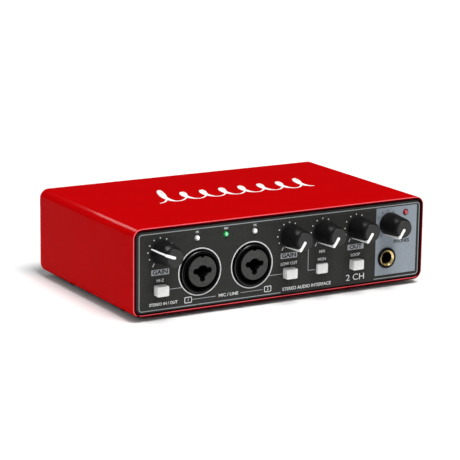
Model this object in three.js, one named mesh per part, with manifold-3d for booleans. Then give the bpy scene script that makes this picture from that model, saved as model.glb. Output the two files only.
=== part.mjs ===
// A desktop two-channel audio interface: a painted sleeve that holds a front control panel, a rear
// connector panel and two circuit boards, on four rubber feet. Millimetres, +Z up, front towards -Y.
// The origin is under the middle of the object, on the surface that it stands on.
import * as THREE from 'three';
import { mergeVertices } from 'three/addons/utils/BufferGeometryUtils.js';
import Module from 'manifold-3d';

const wasm = await Module();
wasm.setup();

// ---- Driving dimensions ----
const CASE = { width: 177, depth: 110, height: 46, corner: 5, wall: 1.5 };
const PANEL = { recess: 0.5, thickness: 2, play: 0.5 };
const FOOT = { radius: 6, height: 2.5, x: 76.5, fromEnd: 25 };
const GAP = 0.3; // clearance between pieces that rest on each other
const KNOB = {
  z: 35.7, baseRadius: 6.4, frontRadius: 5.3, lift: 1.5, front: 16.1, rim: 1.4,
  ribRadius: 6.1, ribFootRadius: 6.5, ribWidth: 1.2, ribProud: 0.3,
};
const SHAFT = { radius: 3, flat: 1.5, tip: 12, root: 6 };
const POT = { width: 10, height: 11, front: 2.3, back: 9.3, bushing: 4, bore: 3.15 };
const BUTTON = { z: 15.7, width: 6.6, height: 5.4, corner: 0.9, proud: 3.8, travel: 3, stem: 3 };
const SWITCH = { size: 8, front: 5.1, back: 9.3 };
const LED = { radius: 1.5, proud: 1.1, flange: 1.9, lead: 0.5, leadSpacing: 1.27 };
const COMBO = {
  z: 22.6, barrel: 11.3, rim: 10.4, bore: 9.6, proud: 1.7, blockWidth: 26, blockHeight: 27,
  blockBack: 28, boreDepth: 16, insert: 8.1, insertProud: 1.9, insertShiftX: 0.6, insertShiftZ: 0.35,
  plugBore: 3.25, pinBore: 1.5, pinCircle: 3.9,
};
const PHONES = { x: 65.3, z: 16.6, bushing: 4.4, bore: 3.2, proud: 1.2, nut: 5.6, body: 14, depth: 30 };
const OUTPUT = { z: 17, bushing: 4.5, bore: 3.2, proud: 3, nut: 6.4, body: 14, height: 16, depth: 30 };
const PHANTOM = { x: 36, z: 13, lever: 3.4, travel: 4, proud: 1.9 };
const USB = { x: 62, width: 8.9, height: 3.2, wall: 0.3, depth: 7.5, proud: 0.3 };
const BOARD = { thickness: 1.6, z: 6.9, controlFront: 9.6 };
const SCREW = { head: 2.8, headHeight: 1.6, shank: 1.4, hole: 1.7, boss: 3.8, inset: 3.5, length: 10 };

const KNOBS = [
  { name: 'gain_1', x: -73, pointerDeg: 160 },
  { name: 'gain_2', x: 3.3, pointerDeg: 236 },
  { name: 'mix', x: 23.9, pointerDeg: 236 },
  { name: 'output', x: 45.1, pointerDeg: 236 },
  { name: 'phones', x: 65.4, pointerDeg: 236 },
];
const BUTTONS = [
  { name: 'hi_z', x: -73, pressed: 0 },
  { name: 'low_cut', x: 3.4, pressed: 0 },
  { name: 'monitor', x: 23.9, pressed: 2.6 },
  { name: 'loopback', x: 45.1, pressed: 0 },
];
const LEDS = [
  { name: 'peak_1', x: -51.7, z: 40.4, finish: 'clearLens' },
  { name: 'phantom', x: -34.9, z: 40.6, finish: 'greenLens' },
  { name: 'peak_2', x: -17.6, z: 40.4, finish: 'clearLens' },
  { name: 'power', x: 77.0, z: 40.7, finish: 'redLens' },
];
const COMBOS = [{ name: '1', x: -50.1 }, { name: '2', x: -19.2 }];
const OUTPUTS = [{ name: 'left', x: -20 }, { name: 'right', x: -46 }];

const FINISHES = {
  sleevePaint: { color: 0xc4060c, roughness: 0.38, metalness: 0.1 },
  graphitePanel: { color: 0x323230, roughness: 0.6, metalness: 0.2 },
  blackPlastic: { color: 0x1c1c1c, roughness: 0.5, metalness: 0 },
  whitePlastic: { color: 0xebebe8, roughness: 0.3, metalness: 0 },
  darkGreyPlastic: { color: 0x464644, roughness: 0.5, metalness: 0 },
  gold: { color: 0xd8b45a, roughness: 0.25, metalness: 1 },
  steel: { color: 0xb4b6ba, roughness: 0.35, metalness: 1 },
  darkNut: { color: 0x18181a, roughness: 0.4, metalness: 0.6 },
  board: { color: 0x1f5a34, roughness: 0.55, metalness: 0 },
  ribbon: { color: 0x9a9da2, roughness: 0.6, metalness: 0 },
  rubber: { color: 0x141414, roughness: 0.85, metalness: 0 },
  clearLens: { color: 0xe6e8ea, roughness: 0.1, metalness: 0 },
  greenLens: { color: 0x2fbf6e, roughness: 0.1, metalness: 0 },
  redLens: { color: 0xb01a2a, roughness: 0.1, metalness: 0 },
  capacitorSleeve: { color: 0x22304a, roughness: 0.4, metalness: 0 },
};

// ---- Reference planes ----
const KNOB_TIP = KNOB.front + KNOB.ribProud - PANEL.recess;
const JACK_TIP = OUTPUT.proud - PANEL.recess;
const CASE_FRONT = -(KNOB_TIP + CASE.depth + JACK_TIP) / 2 + KNOB_TIP;
const CASE_BACK = CASE_FRONT + CASE.depth;
const CASE_BOTTOM = FOOT.height;
const CASE_TOP = CASE_BOTTOM + CASE.height;
const INNER_X = CASE.width / 2 - CASE.wall;
const PANEL_BACK = PANEL.thickness + GAP;

// y of a plane so many millimetres behind the front panel's face, or in front of the rear panel's face
const front = (depth) => CASE_FRONT + PANEL.recess + depth;
const rear = (depth) => CASE_BACK - PANEL.recess - depth;

// ---- Solids ----
function solidOf(geometry) {
  const bare = new THREE.BufferGeometry();
  bare.setAttribute('position', geometry.getAttribute('position'));
  bare.setIndex(geometry.index);
  const merged = mergeVertices(bare, 1e-4);
  const corners = merged.index.array;
  const kept = [];
  for (let i = 0; i < corners.length; i += 3) {
    const [a, b, c] = corners.slice(i, i + 3);
    if (a !== b && b !== c && c !== a) kept.push(a, b, c);
  }
  const vertProperties = merged.getAttribute('position').array;
  return new wasm.Manifold(new wasm.Mesh({ numProp: 3, vertProperties, triVerts: new Uint32Array(kept) }));
}

function geometryOf(solid) {
  const mesh = solid.getMesh();
  const geometry = new THREE.BufferGeometry();
  geometry.setAttribute('position', new THREE.BufferAttribute(mesh.vertProperties, 3));
  geometry.setIndex(new THREE.BufferAttribute(mesh.triVerts, 1));
  geometry.computeVertexNormals();
  return geometry;
}

const cut = (solid, ...tools) => tools.reduce((rest, tool) => rest.subtract(tool), solid);
const join = (solid, ...others) => others.reduce((whole, other) => whole.add(other), solid);

// ---- Outlines, as lists of points that run anticlockwise ----
function arc(x, y, radius, fromDeg, toDeg, steps) {
  return Array.from({ length: steps + 1 }, (_, i) => {
    const angle = THREE.MathUtils.degToRad(fromDeg + ((toDeg - fromDeg) * i) / steps);
    return new THREE.Vector2(x + radius * Math.cos(angle), y + radius * Math.sin(angle));
  });
}

const disc = (x, y, radius, steps) => arc(x, y, radius, 0, 360, steps).slice(0, -1);

function roundedBox(x, y, width, height, radius, steps) {
  const dx = width / 2 - radius;
  const dy = height / 2 - radius;
  return [[1, 1, 0], [-1, 1, 90], [-1, -1, 180], [1, -1, 270]].flatMap(([sx, sy, start]) =>
    arc(x + sx * dx, y + sy * dy, radius, start, start + 90, steps));
}

// ---- Basic shapes ----
function extruded(outline, holes, depth) {
  const shape = new THREE.Shape(outline);
  shape.holes = holes.map((hole) => new THREE.Path(hole));
  return new THREE.ExtrudeGeometry(shape, { depth, bevelEnabled: false });
}

// An outline in x and z, carried from y0 back to y1
function slab(outline, y0, y1, holes = []) {
  return solidOf(extruded(outline, holes, y1 - y0).rotateX(Math.PI / 2).translate(0, y1, 0));
}

// An outline in x and y, carried from z0 up to z1
function sheet(outline, z0, z1, holes = []) {
  return solidOf(extruded(outline, holes, z1 - z0).translate(0, 0, z0));
}

// An outline in y and z, carried from x0 to x1
function strip(outline, x0, x1) {
  const turn = new THREE.Matrix4().makeBasis(
    new THREE.Vector3(0, 1, 0), new THREE.Vector3(0, 0, 1), new THREE.Vector3(1, 0, 0));
  return solidOf(extruded(outline, [], x1 - x0).applyMatrix4(turn).translate(x0, 0, 0));
}

function block([x0, x1], [y0, y1], [z0, z1]) {
  const geometry = new THREE.BoxGeometry(x1 - x0, y1 - y0, z1 - z0);
  return solidOf(geometry.translate((x0 + x1) / 2, (y0 + y1) / 2, (z0 + z1) / 2));
}

const around = (centre, size) => [centre - size / 2, centre + size / 2];

const rod = (x, z, radius, y0, y1, steps = 24) => slab(disc(x, z, radius, steps), y0, y1);

// A profile of [radius, y] points, in order of rising y, turned about a line along Y through x and z
function turned(profile, x, z, steps = 24) {
  const points = profile.map(([radius, y]) => new THREE.Vector2(radius, y));
  return solidOf(new THREE.LatheGeometry(points, steps).translate(x, 0, z));
}

// The same about an upright line, with the profile as [radius, z] points in order of rising z
function turnedUpright(profile, x, y, steps = 24) {
  const points = profile.map(([radius, z]) => new THREE.Vector2(radius, z));
  return solidOf(new THREE.LatheGeometry(points, steps).rotateX(Math.PI / 2).translate(x, y, 0));
}

// ---- Case ----
function screwPoints() {
  const x = INNER_X - SCREW.inset;
  const low = CASE_BOTTOM + CASE.wall + SCREW.inset;
  const high = CASE_TOP - CASE.wall - SCREW.inset;
  return [[-x, low], [x, low], [-x, high], [x, high]];
}

const BOSS_FRONT = rear(PANEL_BACK + SCREW.length);

function caseSleeve() {
  const middle = (CASE_BOTTOM + CASE_TOP) / 2;
  const outer = roundedBox(0, middle, CASE.width, CASE.height, CASE.corner, 6);
  const inner = roundedBox(0, middle, CASE.width - 2 * CASE.wall, CASE.height - 2 * CASE.wall,
    CASE.corner - CASE.wall, 6);
  const shell = slab(outer, CASE_FRONT, CASE_BACK, [inner]);

  const railDepth = 2;
  const railHeight = 1.5;
  const railsUnder = BOARD.z - GAP - railHeight;
  const railsOver = BOARD.z + BOARD.thickness + GAP;
  const rails = [-1, 1].flatMap((side) => [railsUnder, railsOver].map((z) => {
    const edges = [side * (INNER_X - railDepth), side * (INNER_X + CASE.wall / 2)].sort((a, b) => a - b);
    return block(edges, [front(BOARD.controlFront + 4), BOSS_FRONT + 1], [z, z + railHeight]);
  }));

  const bosses = screwPoints().map(([x, z]) => rod(x, z, SCREW.boss, BOSS_FRONT, rear(PANEL_BACK), 16));
  const holes = screwPoints().map(([x, z]) => rod(x, z, SCREW.hole, BOSS_FRONT - 1, rear(0), 12));
  return cut(join(shell, ...rails, ...bosses), ...holes);
}

function panelOutline() {
  const margin = CASE.wall + PANEL.play;
  return roundedBox(0, (CASE_BOTTOM + CASE_TOP) / 2, CASE.width - 2 * margin, CASE.height - 2 * margin,
    CASE.corner - margin, 4);
}

function frontPanel() {
  const holes = [
    ...KNOBS.map(({ x }) => disc(x, KNOB.z, POT.bushing + GAP, 16)),
    ...BUTTONS.map(({ x }) =>
      roundedBox(x, BUTTON.z, BUTTON.width + 2 * GAP, BUTTON.height + 2 * GAP, BUTTON.corner, 2)),
    ...LEDS.map(({ x, z }) => disc(x, z, LED.radius + GAP, 12)),
    ...COMBOS.map(({ x }) => disc(x, COMBO.z, COMBO.barrel + GAP, 32)),
    disc(PHONES.x, PHONES.z, PHONES.bushing + GAP, 24),
  ];
  return slab(panelOutline(), front(0), front(PANEL.thickness), holes);
}

function rearPanel() {
  const holes = [
    ...screwPoints().map(([x, z]) => disc(x, z, SCREW.hole, 12)),
    ...OUTPUTS.map(({ x }) => disc(x, OUTPUT.z, OUTPUT.bushing + GAP, 24)),
    roundedBox(PHANTOM.x, PHANTOM.z, PHANTOM.travel + PHANTOM.lever + 0.8, PHANTOM.lever + 0.4, 0.4, 1),
    roundedBox(USB.x, usbZ(), USB.width + 0.8, USB.height + 0.8, USB.height / 2 + 0.3, 3),
  ];
  return slab(panelOutline(), rear(PANEL.thickness), rear(0), holes);
}

function rearScrew([x, z]) {
  const top = rear(-GAP - SCREW.headHeight);
  const body = turned([
    [0, rear(SCREW.length)], [SCREW.shank, rear(SCREW.length)], [SCREW.shank, rear(-GAP)],
    [SCREW.head, rear(-GAP)], [SCREW.head, top - 0.7], [SCREW.head - 0.8, top], [0, top],
  ], x, z, 16);
  const slots = [[0.8, 3.4], [3.4, 0.8]].map(([width, height]) =>
    block(around(x, width), [top - 0.9, top + 1], around(z, height)));
  return cut(body, ...slots);
}

function foot(x, y) {
  const top = FOOT.height - GAP;
  return turnedUpright([[0, 0], [FOOT.radius - 0.8, 0], [FOOT.radius, 0.8], [FOOT.radius, top], [0, top]], x, y);
}

// ---- Controls ----
function knob({ x, pointerDeg }) {
  const face = front(-KNOB.front);
  const base = front(-KNOB.lift);
  const body = turned([
    [0, face], [KNOB.frontRadius - KNOB.rim * 0.7, face], [KNOB.frontRadius - KNOB.rim * 0.2, face + KNOB.rim * 0.4],
    [KNOB.frontRadius, face + KNOB.rim], [KNOB.baseRadius, base - 0.4], [KNOB.baseRadius - 0.3, base], [0, base],
  ], x, KNOB.z);

  // The pointer rib stands on the side of the knob and runs over its face to the middle
  const ribEdge = [[0, face - KNOB.ribProud], [KNOB.ribRadius, face - KNOB.ribProud],
    [KNOB.ribFootRadius, base - 0.8], [0, base - 0.8]].map(([u, y]) => new THREE.Vector2(u, y));
  const rib = sheet(ribEdge, -KNOB.ribWidth / 2, KNOB.ribWidth / 2)
    .rotate([0, -pointerDeg, 0])
    .translate([x, 0, KNOB.z]);

  const socket = rod(x, KNOB.z, SHAFT.radius + GAP, front(-SHAFT.tip - GAP), base + 1);
  const key = block([x + SHAFT.flat + GAP, x + SHAFT.radius + 1], [front(-SHAFT.tip - GAP), base + 1],
    around(KNOB.z, 2 * SHAFT.radius + 2));
  return cut(join(body, rib), cut(socket, key));
}

function potShaft({ x }) {
  const shaft = rod(x, KNOB.z, SHAFT.radius, front(-SHAFT.tip), front(SHAFT.root));
  const flat = block([x + SHAFT.flat, x + SHAFT.radius + 1], [front(-SHAFT.tip - 1), front(-KNOB.lift)],
    around(KNOB.z, 2 * SHAFT.radius + 2));
  return cut(shaft, flat);
}

function potBody({ x }) {
  const can = block(around(x, POT.width), [front(POT.front), front(POT.back)], around(KNOB.z, POT.height));
  const bushing = rod(x, KNOB.z, POT.bushing, front(0.8), front(POT.front + 1));
  return cut(join(can, bushing), rod(x, KNOB.z, POT.bore, front(0), front(SHAFT.root + GAP)));
}

// The head slides through the panel, and the stem behind it slides in the switch
function buttonCap({ x, pressed }) {
  const face = pressed - BUTTON.proud;
  const headBack = pressed + 1.5;
  const outline = (inset) => roundedBox(x, BUTTON.z, BUTTON.width - 2 * inset, BUTTON.height - 2 * inset,
    BUTTON.corner - inset, 3);
  const head = slab(outline(0), front(face + 0.4), front(headBack));
  const crown = slab(outline(0.3), front(face), front(face + 0.5));
  const stem = block(around(x, BUTTON.stem), [front(headBack - 0.5), front(pressed + 5.8)],
    around(BUTTON.z, BUTTON.stem));
  return join(head, crown, stem);
}

function switchBody({ x }) {
  const body = block(around(x, SWITCH.size), [front(SWITCH.front), front(SWITCH.back)],
    around(BUTTON.z, SWITCH.size));
  const slot = BUTTON.stem + 2 * GAP;
  return cut(body, block(around(x, slot), [front(SWITCH.front - 1), front(SWITCH.back - GAP)],
    around(BUTTON.z, slot)));
}

function led({ x, z }) {
  const tip = front(-LED.proud);
  const dome = arc(0, tip + LED.radius, LED.radius, -90, 0, 3).map(({ x: r, y }) => [Math.max(r, 0), y]);
  dome[0][0] = 0;
  const lens = turned([
    ...dome, [LED.radius, front(PANEL_BACK)], [LED.flange, front(PANEL_BACK)],
    [LED.flange, front(PANEL_BACK + 1)], [0, front(PANEL_BACK + 1)],
  ], x, z, 16);
  const leads = [-1, 1].map((side) => block(around(x + side * LED.leadSpacing, LED.lead),
    [front(PANEL_BACK + 0.5), front(BOARD.controlFront - GAP)], around(z, LED.lead)));
  return join(lens, ...leads);
}

// ---- Combination input jacks ----
// The insert and its plug hole sit slightly off the barrel's middle
function plugAxis(barrelX) {
  return [barrelX + COMBO.insertShiftX, COMBO.z + COMBO.insertShiftZ];
}

function comboHousing({ x }) {
  const barrel = turned([
    [0, front(-COMBO.proud)], [COMBO.rim, front(-COMBO.proud)], [COMBO.barrel - 0.3, front(-COMBO.proud + 0.35)],
    [COMBO.barrel, front(-COMBO.proud + 1)], [COMBO.barrel, front(PANEL_BACK + 1)], [0, front(PANEL_BACK + 1)],
  ], x, COMBO.z, 32);
  const body = block(around(x, COMBO.blockWidth), [front(PANEL_BACK), front(COMBO.blockBack)],
    around(COMBO.z, COMBO.blockHeight));
  const plugWell = rod(x, COMBO.z, COMBO.bore, front(-COMBO.proud - 1), front(COMBO.boreDepth), 32);
  const [plugX, plugZ] = plugAxis(x);
  const tipWell = rod(plugX, plugZ, COMBO.plugBore + GAP, front(COMBO.boreDepth - 1), front(COMBO.blockBack - 2));
  return cut(join(barrel, body), plugWell, tipWell);
}

function comboInsert({ x: barrelX }) {
  const [x, z] = plugAxis(barrelX);
  const back = COMBO.boreDepth - GAP;
  const flange = COMBO.bore - GAP - Math.hypot(COMBO.insertShiftX, COMBO.insertShiftZ);
  const body = turned([
    [0, front(-COMBO.insertProud)], [COMBO.insert - 0.4, front(-COMBO.insertProud)],
    [COMBO.insert, front(-COMBO.insertProud + 0.4)], [COMBO.insert, front(back - 2)],
    [flange, front(back - 2)], [flange, front(back)], [0, front(back)],
  ], x, z, 32);
  const ends = [front(-COMBO.insertProud - 1), front(back + 1)];
  const plugHole = rod(x, z, COMBO.plugBore, ...ends);
  const pinHoles = [5, 175, 270].map((degrees) => {
    const angle = THREE.MathUtils.degToRad(degrees);
    return rod(x + COMBO.pinCircle * Math.cos(angle), z + COMBO.pinCircle * Math.sin(angle),
      COMBO.pinBore, ...ends, 12);
  });
  const keyway = block(around(x, 1.6), [ends[0], front(COMBO.boreDepth - 4)],
    [z + COMBO.insert - 0.7, z + COMBO.insert + 1]);
  return cut(body, plugHole, ...pinHoles, keyway);
}

// ---- Headphone jack ----
function phonesJackBody() {
  const body = block(around(PHONES.x, PHONES.body), [front(PANEL_BACK), front(PHONES.depth)],
    around(PHONES.z, PHONES.body));
  const seat = rod(PHONES.x, PHONES.z, PHONES.bushing + GAP, front(0), front(5));
  const well = rod(PHONES.x, PHONES.z, PHONES.bore, front(4), front(PHONES.depth - 2));
  return cut(body, seat, well);
}

function phonesBushing() {
  const tip = front(-PHONES.proud);
  return turned([
    [PHONES.bore, tip + 1.4], [PHONES.bushing - 0.4, tip], [PHONES.bushing - 0.1, tip],
    [PHONES.bushing, tip + 0.2], [PHONES.bushing, front(5 - GAP)], [PHONES.bore, front(5 - GAP)],
    [PHONES.bore, tip + 1.4],
  ], PHONES.x, PHONES.z);
}

function phonesNut() {
  const bore = PHONES.bushing + GAP;
  const tip = front(-1);
  return turned([
    [bore, tip], [PHONES.nut - 0.3, tip], [PHONES.nut, tip + 0.3], [PHONES.nut, front(-GAP)],
    [bore, front(-GAP)], [bore, tip],
  ], PHONES.x, PHONES.z);
}

// ---- Rear connectors ----
function outputJack({ x }) {
  const body = block(around(x, OUTPUT.body), [rear(OUTPUT.depth), rear(PANEL_BACK)],
    around(OUTPUT.z, OUTPUT.height));
  const bushing = rod(x, OUTPUT.z, OUTPUT.bushing, rear(PANEL_BACK + 1), rear(-OUTPUT.proud));
  return cut(join(body, bushing), rod(x, OUTPUT.z, OUTPUT.bore, rear(OUTPUT.depth - 2), rear(-OUTPUT.proud - 1)));
}

function outputNut({ x }) {
  return slab(disc(x, OUTPUT.z, OUTPUT.nut, 6), rear(-GAP), rear(-OUTPUT.proud + 0.6),
    [disc(x, OUTPUT.z, OUTPUT.bushing + GAP, 24)]);
}

function usbZ() {
  return BOARD.z + BOARD.thickness + GAP + USB.height / 2;
}

function usbPort() {
  const z = usbZ();
  const stadium = (inset) => roundedBox(USB.x, z, USB.width - 2 * inset, USB.height - 2 * inset,
    USB.height / 2 - inset - 0.01, 4);
  const shell = slab(stadium(0), rear(USB.depth), rear(-USB.proud));
  const mouth = slab(stadium(USB.wall), rear(USB.depth - 0.8), rear(-USB.proud - 1));
  const tongue = block(around(USB.x, 6.6), [rear(USB.depth - 0.4), rear(1)], around(z, 0.7));
  return join(cut(shell, mouth), tongue);
}

function phantomSwitchBody() {
  const body = block(around(PHANTOM.x, 14), [rear(9), rear(PANEL_BACK)], around(PHANTOM.z, 8));
  const track = block(around(PHANTOM.x, PHANTOM.travel + 6), [rear(6), rear(PANEL_BACK - 1)],
    around(PHANTOM.z, 6));
  return cut(body, track);
}

function phantomSwitchLever() {
  const x = PHANTOM.x - PHANTOM.travel / 2;
  const lever = block(around(x, PHANTOM.lever), [rear(5), rear(-PHANTOM.proud)], around(PHANTOM.z, 3));
  const slider = block(around(x, 5), [rear(5.6), rear(3.2)], around(PHANTOM.z, 5.2));
  return join(lever, slider);
}

// ---- Boards ----
function mainBoard() {
  const halfWidth = INNER_X - 0.6;
  const y0 = front(BOARD.controlFront + BOARD.thickness + 1);
  const y1 = rear(PANEL_BACK);
  const notchX = INNER_X - SCREW.inset - SCREW.boss - 0.4;
  const notchY = BOSS_FRONT - 0.5;
  const outline = [
    [-halfWidth, y0], [halfWidth, y0], [halfWidth, notchY], [notchX, notchY], [notchX, y1],
    [-notchX, y1], [-notchX, notchY], [-halfWidth, notchY],
  ].map(([x, y]) => new THREE.Vector2(x, y));
  return sheet(outline, BOARD.z, BOARD.z + BOARD.thickness);
}

// The upright board behind the front panel, with bays at its lower edge for the jacks
function controlBoard() {
  const low = BOARD.z + BOARD.thickness + 2;
  const ends = [front(BOARD.controlFront), front(BOARD.controlFront + BOARD.thickness)];
  const plate = block(around(0, 2 * INNER_X - 2), ends, [low, CASE_TOP - CASE.wall - 2]);
  const bay = (x, width, top) => block(around(x, width), [ends[0] - 1, ends[1] + 1], [low - 1, top]);
  const comboTop = COMBO.z + COMBO.blockHeight / 2 + GAP;
  const phonesTop = PHONES.z + PHONES.body / 2 + GAP;
  return cut(plate, ...COMBOS.map(({ x }) => bay(x, COMBO.blockWidth + 2 * GAP, comboTop)),
    bay(PHONES.x, PHONES.body + 2 * GAP, phonesTop));
}

// A flat cable that leaves the control board, bends down and meets the main board
function ribbonCable() {
  const thickness = 1;
  const bend = 4;
  const y0 = front(BOARD.controlFront + BOARD.thickness + GAP);
  const y1 = y0 + 8;
  const top = 30;
  const low = BOARD.z + BOARD.thickness + GAP;
  const point = (y, z) => new THREE.Vector2(y, z);
  const outline = [
    point(y1 - thickness, low), point(y1, low),
    ...arc(y1 - bend, top - bend, bend, 0, 90, 5),
    point(y0, top), point(y0, top - thickness),
    ...arc(y1 - bend, top - bend, bend - thickness, 90, 0, 5),
  ];
  return strip(outline, 6, 22);
}

function chip(x, y, size) {
  const z = BOARD.z + BOARD.thickness + GAP;
  return block(around(x, size), around(y, size), [z, z + 1.6]);
}

function capacitor(x, y) {
  const low = BOARD.z + BOARD.thickness + GAP;
  const high = low + 12;
  return turnedUpright([[0, low], [4, low], [4, high - 0.5], [3.5, high], [0, high]], x, y, 16);
}

// ---- Assembly ----
const device = new THREE.Group();

function add(name, solid, finish) {
  const mesh = new THREE.Mesh(geometryOf(solid), new THREE.MeshStandardMaterial(FINISHES[finish]));
  mesh.name = name;
  device.add(mesh);
}

add('case_sleeve', caseSleeve(), 'sleevePaint');
add('front_panel', frontPanel(), 'graphitePanel');
add('rear_panel', rearPanel(), 'graphitePanel');
screwPoints().forEach((point, i) => add(`rear_screw_${i + 1}`, rearScrew(point), 'steel'));
[[-1, CASE_FRONT + FOOT.fromEnd, 'front_left'], [1, CASE_FRONT + FOOT.fromEnd, 'front_right'],
  [-1, CASE_BACK - FOOT.fromEnd, 'rear_left'], [1, CASE_BACK - FOOT.fromEnd, 'rear_right']]
  .forEach(([side, y, name]) => add(`foot_${name}`, foot(side * FOOT.x, y), 'rubber'));

for (const item of KNOBS) {
  add(`knob_${item.name}`, knob(item), 'blackPlastic');
  add(`pot_shaft_${item.name}`, potShaft(item), 'steel');
  add(`pot_body_${item.name}`, potBody(item), 'darkGreyPlastic');
}
for (const item of BUTTONS) {
  add(`button_${item.name}`, buttonCap(item), 'whitePlastic');
  add(`switch_body_${item.name}`, switchBody(item), 'darkGreyPlastic');
}
for (const item of LEDS) add(`led_${item.name}`, led(item), item.finish);
for (const item of COMBOS) {
  add(`combo_housing_${item.name}`, comboHousing(item), 'blackPlastic');
  add(`combo_insert_${item.name}`, comboInsert(item), 'darkGreyPlastic');
}
add('phones_jack_body', phonesJackBody(), 'blackPlastic');
add('phones_bushing', phonesBushing(), 'gold');
add('phones_nut', phonesNut(), 'darkNut');
for (const item of OUTPUTS) {
  add(`output_jack_${item.name}`, outputJack(item), 'blackPlastic');
  add(`output_nut_${item.name}`, outputNut(item), 'steel');
}
add('usb_port', usbPort(), 'steel');
add('phantom_switch_body', phantomSwitchBody(), 'steel');
add('phantom_switch_lever', phantomSwitchLever(), 'blackPlastic');
add('main_board', mainBoard(), 'board');
add('control_board', controlBoard(), 'board');
add('ribbon_cable', ribbonCable(), 'ribbon');
add('codec_chip', chip(30, 0, 9), 'blackPlastic');
add('usb_chip', chip(55, 12, 7), 'blackPlastic');
add('power_capacitor_1', capacitor(-10, 8), 'capacitorSleeve');
add('power_capacitor_2', capacitor(3, 8), 'capacitorSleeve');

export default device;
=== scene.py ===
"""A desktop two-channel audio interface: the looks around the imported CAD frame.

Lengths are in millimetres in the frame's axes (+X right, +Y to the rear, +Z up) until mesh_object()
turns them into metres.
"""

import math

import bmesh
import bpy
from mathutils import Matrix, Vector


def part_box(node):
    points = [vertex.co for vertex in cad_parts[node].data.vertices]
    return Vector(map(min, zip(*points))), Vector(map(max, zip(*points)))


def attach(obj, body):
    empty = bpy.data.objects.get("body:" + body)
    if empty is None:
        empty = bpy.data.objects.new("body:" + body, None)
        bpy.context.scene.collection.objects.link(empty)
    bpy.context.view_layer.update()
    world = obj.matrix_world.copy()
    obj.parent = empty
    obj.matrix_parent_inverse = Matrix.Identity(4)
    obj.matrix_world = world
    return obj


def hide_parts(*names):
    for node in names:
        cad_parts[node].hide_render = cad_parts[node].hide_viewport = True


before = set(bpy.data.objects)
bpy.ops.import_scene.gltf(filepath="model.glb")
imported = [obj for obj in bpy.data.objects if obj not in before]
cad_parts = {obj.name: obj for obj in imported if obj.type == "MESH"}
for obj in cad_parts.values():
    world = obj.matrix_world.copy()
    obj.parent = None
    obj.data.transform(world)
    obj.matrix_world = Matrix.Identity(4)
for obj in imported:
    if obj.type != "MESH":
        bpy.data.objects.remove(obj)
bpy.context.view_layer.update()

MM = 0.001
CHASSIS = "chassis"
KNOBS = ("gain_1", "gain_2", "mix", "output", "phones")
POINTER_DEG = {"gain_1": 160, "gain_2": 236, "mix": 236, "output": 236, "phones": 236}
BUTTONS = ("hi_z", "low_cut", "monitor", "loopback")
COMBOS = ("combo_housing_1", "combo_housing_2")
OUTPUTS = ("left", "right")


def span(node):
    """Lowest and highest corner of a CAD node, in millimetres."""
    low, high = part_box(node)
    return low / MM, high / MM


def middle(node):
    low, high = span(node)
    return (low + high) / 2


# ---- Places that the frame gives ----
SLEEVE_LOW, SLEEVE_HIGH = span("case_sleeve")
PANEL_LOW, PANEL_HIGH = span("front_panel")
REAR_LOW, REAR_HIGH = span("rear_panel")
FACE_Y = PANEL_LOW.y
REAR_Y = REAR_HIGH.y
KNOB_AT = {name: middle("pot_shaft_" + name) for name in KNOBS}
BUTTON_AT = {name: middle("switch_body_" + name) for name in BUTTONS}
COMBO_AT = [middle(name) for name in COMBOS]
PHONES_AT = middle("phones_bushing")
LED_AT = {name: middle("led_" + name) for name in ("peak_1", "phantom", "peak_2", "power")}

# ---- Sizes that only the looks need ----
SLEEVE_CORNER = 5.0
SLEEVE_WALL = 1.5
LIP_ROUND = 0.7
# Insets of the lip's painted highlight band, on the top and sides and on the bottom wall.
LIP_PAINTED_HIGHLIGHT = {"side": (0.03, 0.5), "bottom": (0.9, 1.3)}
PANEL_CORNER = 3.0
COMBO_BARREL = 11.3
COMBO_BORE = 9.6
COMBO_SHOULDER = 10.7
COMBO_INSERT = 8.1
BORDER_INSET = 1.5
INK = 0.03
DIAL_RADIUS = 7.05
KNOB_HOLE = 4.3
BUTTON_HOLE = (7.2, 6.0)
BUTTON_CAP = (6.6, 5.4)
LED_HOLE = 1.75
LED_RADIUS = 1.5
PHONES_HOLE = 4.7
JACK_BORE = 3.2
PLATE_BEVEL = 0.15

# ---- Camera ----
CAMERA = {"azimuth": -30.49, "elevation": 13.16, "roll": 0.72, "distance": 1004.2, "lens": 153.87}
CAMERA_TARGET = (-32.9, SLEEVE_LOW.y, 42.6)


def make_camera():
    azimuth, elevation, roll = (math.radians(CAMERA[k]) for k in ("azimuth", "elevation", "roll"))
    back = Vector((math.sin(azimuth) * math.cos(elevation), -math.cos(azimuth) * math.cos(elevation),
                   math.sin(elevation)))
    right = Vector((math.cos(azimuth), math.sin(azimuth), 0))
    up = back.cross(right)
    tilted_right = math.cos(roll) * right + math.sin(roll) * up
    tilted_up = back.cross(tilted_right)
    camera = bpy.data.objects.new("camera", bpy.data.cameras.new("camera"))
    bpy.context.scene.collection.objects.link(camera)
    turn = Matrix((tilted_right, tilted_up, back)).transposed().to_4x4()
    place = (Vector(CAMERA_TARGET) + back * CAMERA["distance"]) * MM
    camera.matrix_world = Matrix.Translation(place) @ turn
    camera.data.lens = CAMERA["lens"]
    camera.data.sensor_width = 36
    camera.data.clip_start = 0.01
    camera.data.clip_end = 50
    bpy.context.scene.camera = camera


make_camera()


# ---- Materials ----
def srgb(red, green, blue):
    """An sRGB colour from 0 to 255, as the linear colour that a shader takes."""
    def linear(value):
        value /= 255
        return value / 12.92 if value <= 0.04045 else ((value + 0.055) / 1.055) ** 2.4
    return (linear(red), linear(green), linear(blue), 1)


def grey(value):
    return srgb(value, value, value)


def shader(name, colour, roughness, metallic=0.0, **sockets):
    material = bpy.data.materials.new(name)
    material.use_nodes = True
    node = material.node_tree.nodes["Principled BSDF"]
    node.inputs["Base Color"].default_value = colour
    node.inputs["Roughness"].default_value = roughness
    node.inputs["Metallic"].default_value = metallic
    for socket, value in sockets.items():
        node.inputs[socket.replace("_", " ")].default_value = value
    return material


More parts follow.
